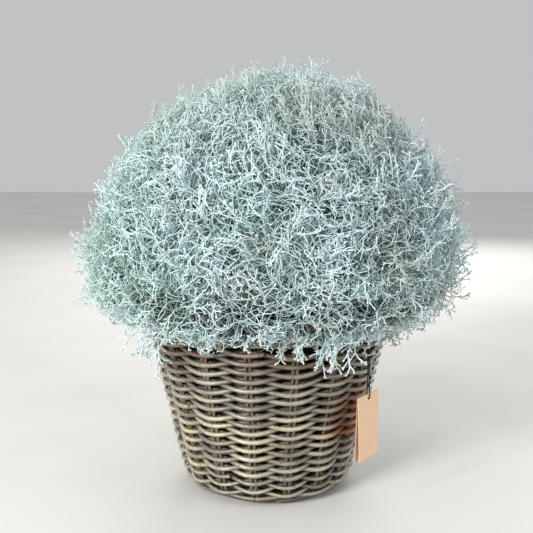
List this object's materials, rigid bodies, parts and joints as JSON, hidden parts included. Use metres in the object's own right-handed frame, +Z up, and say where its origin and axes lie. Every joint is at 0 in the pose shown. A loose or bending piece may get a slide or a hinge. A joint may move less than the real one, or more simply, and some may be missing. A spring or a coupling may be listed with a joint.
{
  "type": "potted cushion bush",
  "caption": "Dense round bush of forked silvery twigs in a tapered woven cane basket with liner and soil, and a blank folded card tag on a string.",
  "frame": {"origin": "middle of the flat underside of the basket's base, on the surface it stands on", "axes": "+Z up through the basket and the bush; -Y is the front, with the tag at the front right; +X to the right"},
  "size_m": [0.6532, 0.6522, 0.6938],
  "materials": {
    "cane": "matt grey-brown whole cane",
    "stake_cane": "matt reddish brown cane",
    "liner": "black matt film",
    "soil": "dark crumbly potting compost",
    "twigs": "felted, silvery grey-green",
    "card": "uncoated kraft card",
    "string": "black waxed thread"
  },
  "bodies": {
    "root": {"basket_base": "cane", "foot_border": "cane", "stake_pair_01": "stake_cane", "stake_pair_02": "stake_cane", "stake_pair_03": "stake_cane", "stake_pair_04": "stake_cane", "stake_pair_05": "stake_cane", "stake_pair_06": "stake_cane", "stake_pair_07": "stake_cane", "stake_pair_08": "stake_cane", "stake_pair_09": "stake_cane", "stake_pair_10": "stake_cane", "stake_pair_11": "stake_cane", "stake_pair_12": "stake_cane", "stake_pair_13": "stake_cane", "stake_pair_14": "stake_cane", "stake_pair_15": "stake_cane", "stake_pair_16": "stake_cane", "weaver_01": "cane", "weaver_02": "cane", "weaver_03": "cane", "weaver_04": "cane", "weaver_05": "cane", "weaver_06": "cane", "weaver_07": "cane", "weaver_08": "cane", "weaver_09": "cane", "weaver_10": "cane", "weaver_11": "cane", "weaver_12": "cane", "rim_border": "stake_cane", "liner": "liner", "soil": "soil", "leafy_stem_01": "twigs", "leafy_stem_02": "twigs", "leafy_stem_03": "twigs", "leafy_stem_04": "twigs", "leafy_stem_05": "twigs", "leafy_stem_06": "twigs", "leafy_stem_07": "twigs", "leafy_stem_08": "twigs", "leafy_stem_09": "twigs", "leafy_stem_10": "twigs", "leafy_stem_11": "twigs", "leafy_stem_12": "twigs", "leafy_stem_13": "twigs", "leafy_stem_14": "twigs", "leafy_stem_15": "twigs", "leafy_stem_16": "twigs", "hang_tag": "card", "tag_string": "string", "tag_knot": "string"}
  },
  "joints": []
}
